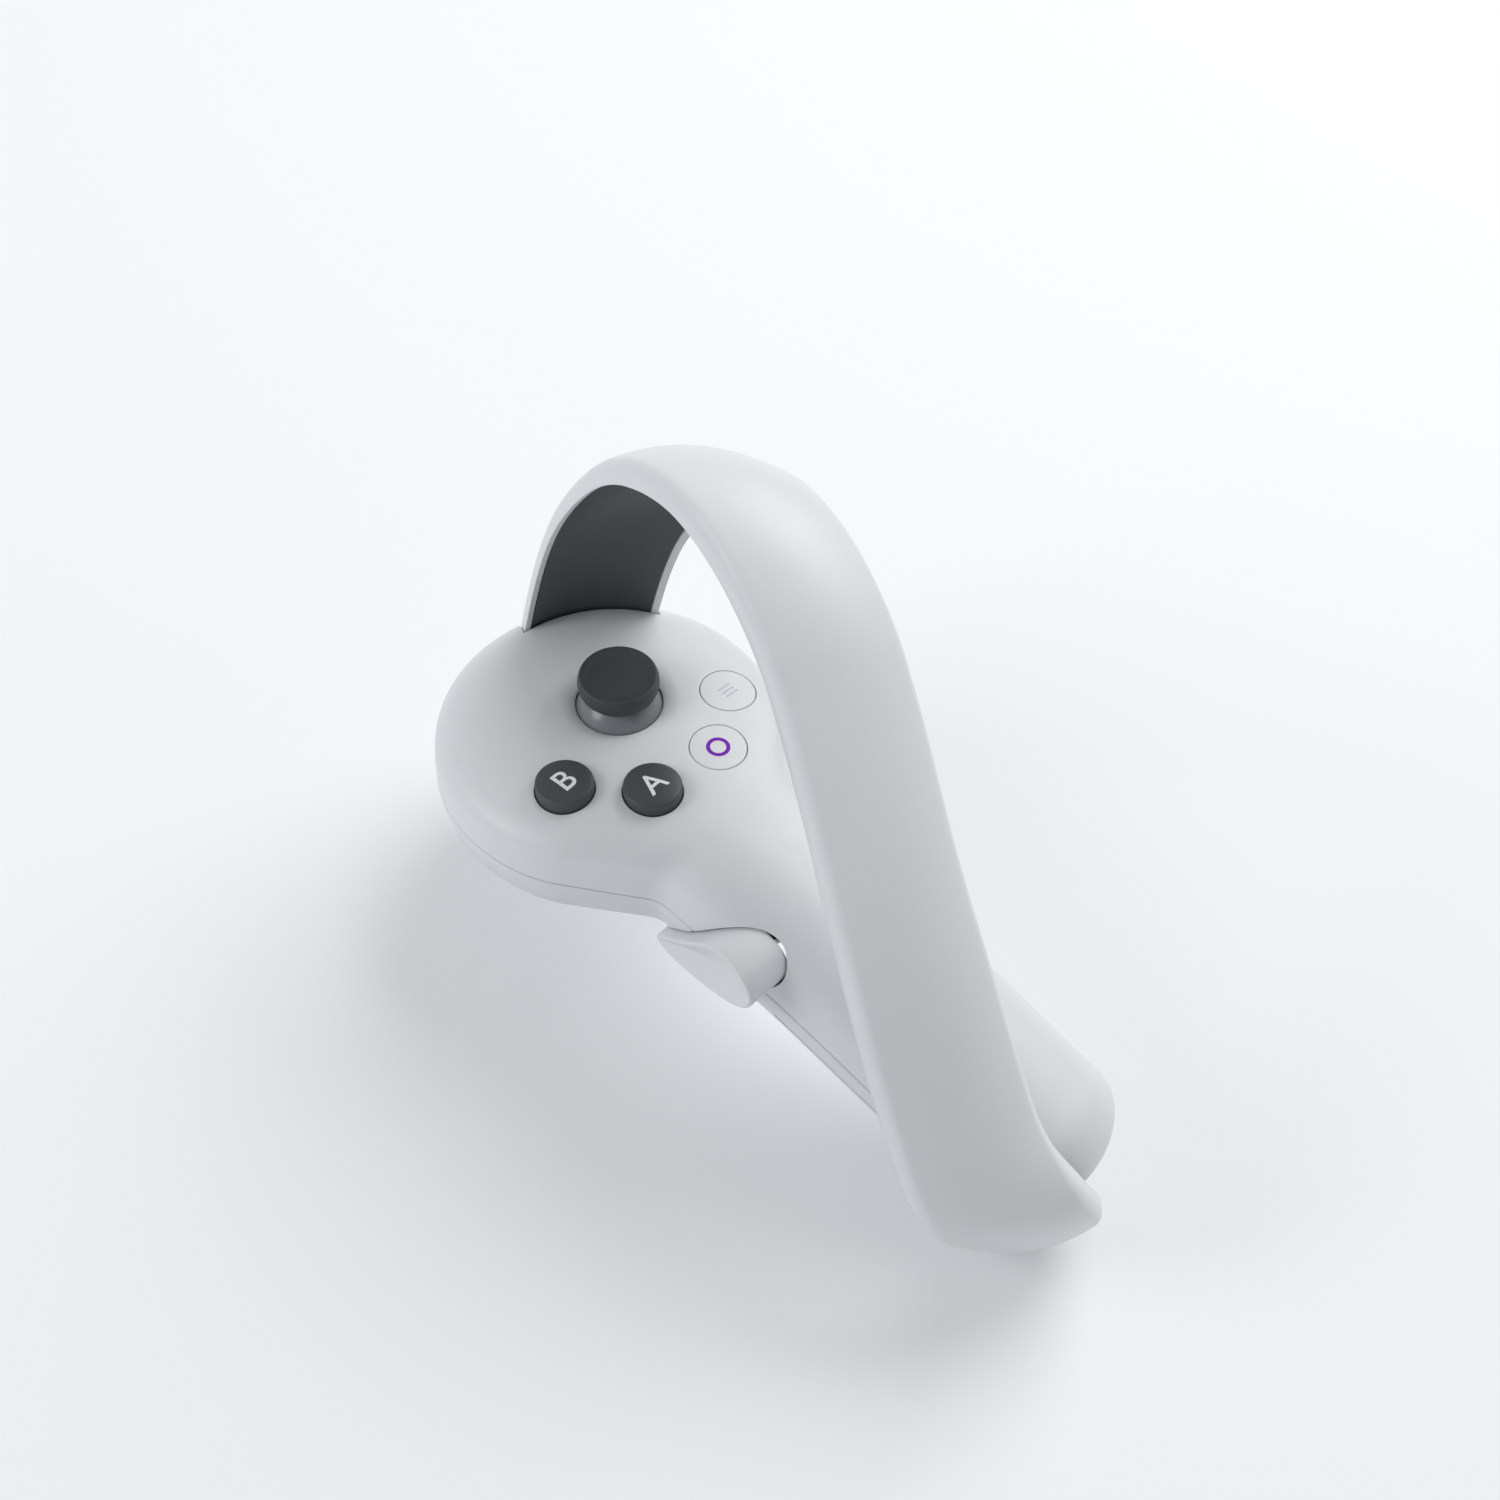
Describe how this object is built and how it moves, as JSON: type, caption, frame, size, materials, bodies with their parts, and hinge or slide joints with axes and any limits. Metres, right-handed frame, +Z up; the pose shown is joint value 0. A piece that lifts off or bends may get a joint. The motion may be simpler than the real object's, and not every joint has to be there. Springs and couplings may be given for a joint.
{
  "type": "vr motion controller",
  "caption": "Right-hand VR motion controller: round head with thumbstick and buttons, index trigger, grip paddle, sloping battery handle and an arched tracking ring.",
  "frame": {"origin": "centre of the bounding box at its base, on the table the controller lies on", "axes": "+Y towards the front of the control head, +X to the user's right, +Z up from the table"},
  "size_m": [0.0654, 0.1568, 0.1126],
  "materials": {
    "board_green": "green solder mask",
    "cap_dark": "dark grey soft-touch key and stick cap",
    "cell_jacket": "plain dark jacket of a dry cell",
    "inner_black": "black inner moulding",
    "liner_dark": "dark grey infrared window inside the ring",
    "magnet": "plated magnet",
    "nickel": "nickel-plated pressing",
    "shell_lower": "matte white moulded lower half",
    "shell_white": "matte white moulded shell, lightly satin",
    "steel": "turned or drawn steel",
    "stem_grey": "grey plastic skirt under the stick cap"
  },
  "bodies": {
    "case": {"a_switch": "nickel", "b_switch": "nickel", "battery_cell_left": "cell_jacket", "battery_cell_right": "cell_jacket", "battery_tray": "inner_black", "case_screw_1": "steel", "case_screw_2": "steel", "case_screw_3": "steel", "case_screw_4": "steel", "contact_front": "nickel", "contact_rear": "nickel", "grip_pin": "steel", "grip_spring": "steel", "haptic_motor": "nickel", "home_switch": "nickel", "lower_shell": "shell_lower", "main_board": "board_green", "menu_switch": "nickel", "ring_foot_screw": "steel", "ring_led_strip": "board_green", "ring_liner_dark": "liner_dark", "ring_liner_light": "shell_white", "ring_outer_shell": "shell_white", "stick_click_switch": "nickel", "stick_cup": "inner_black", "trigger_pin": "steel", "trigger_spring": "steel", "upper_shell": "shell_white"},
    "stick_x": {"stick_gimbal": "steel"},
    "stick_y": {"stick_hub": "nickel"},
    "stick_top": {"stick_stem": "steel", "stick_skirt": "stem_grey", "stick_cap": "cap_dark"},
    "button_a": {"button_a": "cap_dark"},
    "button_b": {"button_b": "cap_dark"},
    "home": {"home_button": "shell_white"},
    "menu": {"menu_button": "shell_white"},
    "trigger": {"index_trigger": "shell_white", "trigger_magnet": "magnet"},
    "grip": {"grip_paddle": "shell_white"},
    "cover": {"battery_cover": "shell_lower"}
  },
  "joints": [
    {"name": "stick_tilt_x", "type": "hinge", "parent": "case", "child": "stick_x", "pos_m": [0.0036, 0.04735, 0.04252], "axis": [1, 0, 0], "range_deg": [-11, 11], "stiffness_Nm_per_rad": 0.05},
    {"name": "stick_tilt_y", "type": "hinge", "parent": "stick_x", "child": "stick_y", "pos_m": [0.0036, 0.04735, 0.04252], "axis": [0, 0.989, -0.1478], "range_deg": [-11, 11], "stiffness_Nm_per_rad": 0.05},
    {"name": "stick_click", "type": "slide", "parent": "stick_y", "child": "stick_top", "axis": [0, -0.1478, -0.989], "range_m": [0, 0.0005], "stiffness_N_per_m": 2000, "springref_m": -0.0004},
    {"name": "button_a_press", "type": "slide", "parent": "case", "child": "button_a", "axis": [0, -0.1478, -0.989], "range_m": [0, 0.001], "stiffness_N_per_m": 700, "springref_m": -0.0008},
    {"name": "button_b_press", "type": "slide", "parent": "case", "child": "button_b", "axis": [0, -0.1478, -0.989], "range_m": [0, 0.001], "stiffness_N_per_m": 700, "springref_m": -0.0008},
    {"name": "home_press", "type": "slide", "parent": "case", "child": "home", "axis": [0, -0.1478, -0.989], "range_m": [0, 0.0006], "stiffness_N_per_m": 900, "springref_m": -0.0006},
    {"name": "menu_press", "type": "slide", "parent": "case", "child": "menu", "axis": [0, -0.1478, -0.989], "range_m": [0, 0.0006], "stiffness_N_per_m": 900, "springref_m": -0.0006},
    {"name": "trigger_pull", "type": "hinge", "parent": "case", "child": "trigger", "pos_m": [0, 0.06047, 0.02681], "axis": [-1, 0, 0], "range_deg": [0, 16], "stiffness_Nm_per_rad": 0.2, "springref_deg": -6.88},
    {"name": "grip_squeeze", "type": "hinge", "parent": "case", "child": "grip", "pos_m": [-0.0141, 0.01167, 0.03855], "axis": [0, 0.1478, 0.989], "range_deg": [0, 5], "stiffness_Nm_per_rad": 0.8, "springref_deg": -2.86},
    {"name": "cover_release", "type": "slide", "parent": "case", "child": "cover", "axis": [-0.0631, 0.3304, -0.9417], "range_m": [0, 0.016]}
  ]
}
